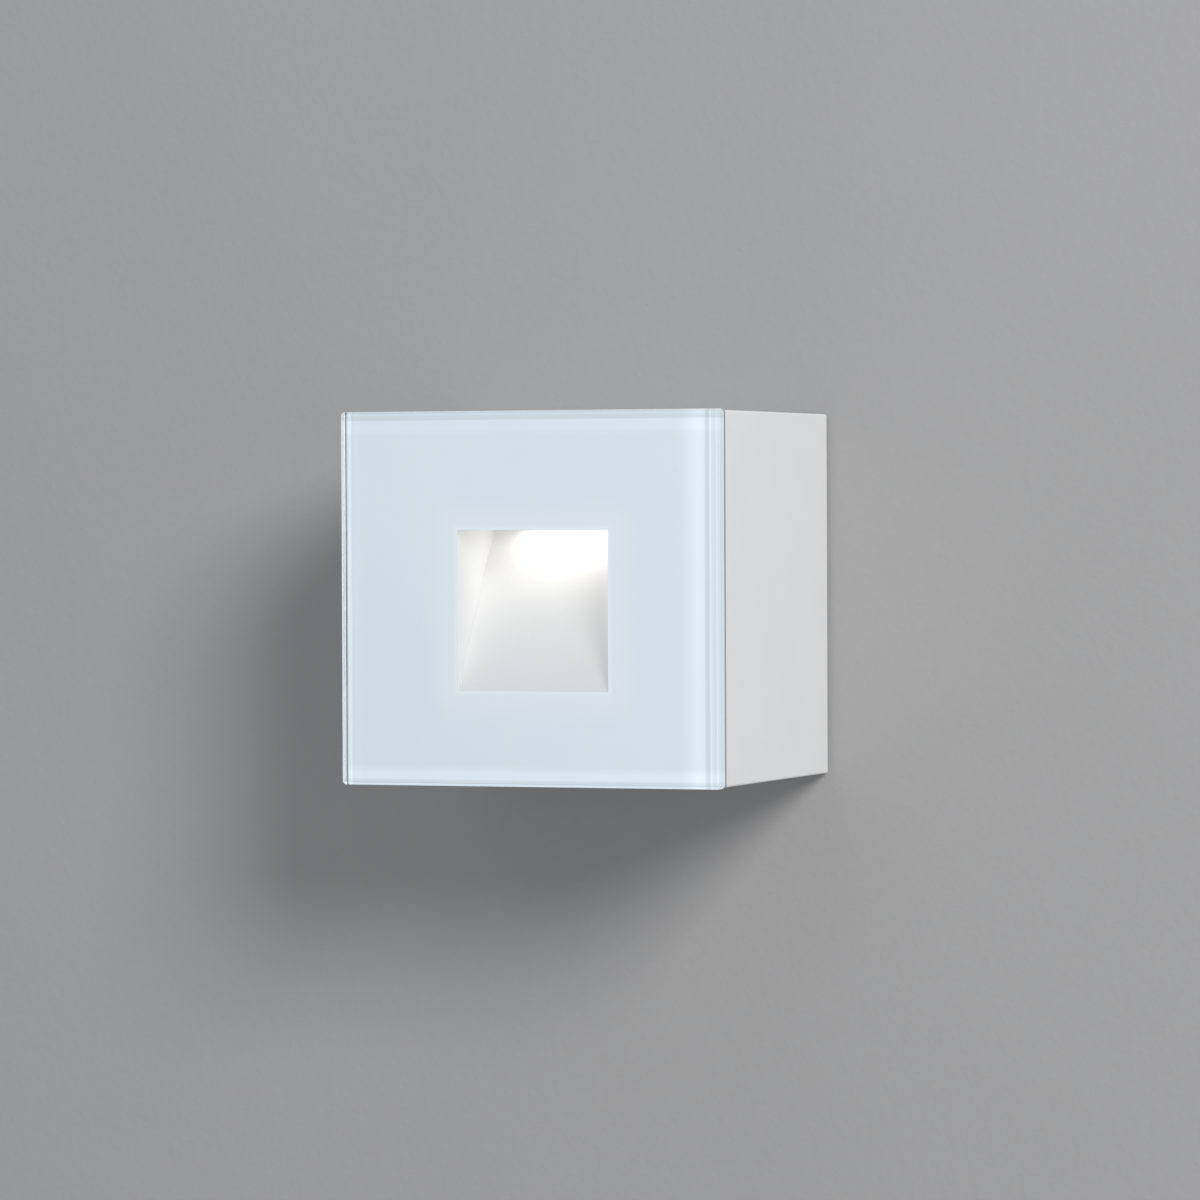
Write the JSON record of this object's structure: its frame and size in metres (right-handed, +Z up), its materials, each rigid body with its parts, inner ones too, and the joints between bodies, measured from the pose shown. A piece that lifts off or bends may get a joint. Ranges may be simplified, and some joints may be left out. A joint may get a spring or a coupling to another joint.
{
  "type": "outdoor wall light",
  "caption": "Cubic outdoor wall light: white metal box with a thick back-printed glass front and a square window onto a lit, sloping recess; pulls off its wall bracket.",
  "frame": {"origin": "on the wall, at the back face of the wall bracket, level with the middle of the glass front", "axes": "+Y into the wall, -Y the way the light faces, +Z up, +X to the right for someone facing the light"},
  "size_m": [0.1, 0.086, 0.093],
  "materials": {
    "powder_white": "fine-texture matt powder coat",
    "clear_glass": "clear, ground and polished edges",
    "white_enamel": "back-printed pale blue-white enamel",
    "reflector_white": "satin white moulding",
    "black_rubber": "matt",
    "zinc_steel": "zinc plated",
    "stainless": "plain stainless",
    "opal_diffuser": "opal",
    "board_white": "white solder mask on aluminium",
    "phosphor": "yellow phosphor",
    "thermal_grey": "soft silicone",
    "bare_aluminium": "mill finish",
    "driver_plastic": "moulded white",
    "board_green": "green solder mask",
    "ferrite": "dark ferrite and tape",
    "capacitor_sleeve": "shrink sleeve",
    "terminal_plastic": "natural polyamide",
    "brass": "plain",
    "tinned_copper": "tin plated",
    "brown_lead": "brown insulation",
    "blue_lead": "blue insulation",
    "earth_lead": "green and yellow insulation",
    "red_lead": "red insulation",
    "black_lead": "black insulation"
  },
  "bodies": {
    "bracket": {"wall_bracket": "zinc_steel", "bracket_grommet": "black_rubber"},
    "lamp_body": {"front_glass": "clear_glass", "enamel_mask": "white_enamel", "housing": "powder_white", "reflector": "reflector_white", "diffuser": "opal_diffuser", "glass_seal": "black_rubber", "wall_gasket": "black_rubber", "cable_grommet": "black_rubber", "led_board": "board_white", "led_connector": "terminal_plastic", "thermal_pad": "thermal_grey", "led_bracket": "bare_aluminium", "driver_case": "driver_plastic", "driver_lid": "driver_plastic", "driver_board": "board_green", "driver_transformer": "ferrite", "driver_capacitor": "capacitor_sleeve", "terminal_block": "terminal_plastic", "earth_ring": "tinned_copper", "earth_washer": "stainless", "earth_screw": "stainless", "live_lead": "brown_lead", "neutral_lead": "blue_lead", "earth_lead": "earth_lead", "led_lead_red": "red_lead", "led_lead_black": "black_lead", "reflector_screw_1": "stainless", "reflector_screw_2": "stainless", "reflector_screw_3": "stainless", "reflector_screw_4": "stainless", "led_1": "phosphor", "led_2": "phosphor", "led_3": "phosphor", "led_board_screw_1": "stainless", "led_bracket_screw_1": "stainless", "driver_screw_1": "stainless", "terminal_fixing_1": "stainless", "led_board_screw_2": "stainless", "led_bracket_screw_2": "stainless", "driver_screw_2": "stainless", "terminal_fixing_2": "stainless", "terminal_screw_1": "brass", "terminal_screw_2": "brass", "terminal_screw_3": "brass", "terminal_screw_4": "brass", "terminal_screw_5": "brass", "terminal_screw_6": "brass"},
    "clamp_screw_top": {"clamp_screw_top": "stainless"},
    "clamp_screw_bottom": {"clamp_screw_bottom": "stainless"}
  },
  "joints": [
    {"name": "lamp_slide", "type": "slide", "parent": "bracket", "child": "lamp_body", "axis": [0, -1, 0], "range_m": [0, 0.03]},
    {"name": "clamp_screw_top_out", "type": "slide", "parent": "lamp_body", "child": "clamp_screw_top", "axis": [0, 0, 1], "range_m": [0, 0.002]},
    {"name": "clamp_screw_bottom_out", "type": "slide", "parent": "lamp_body", "child": "clamp_screw_bottom", "axis": [0, 0, -1], "range_m": [0, 0.002]}
  ]
}
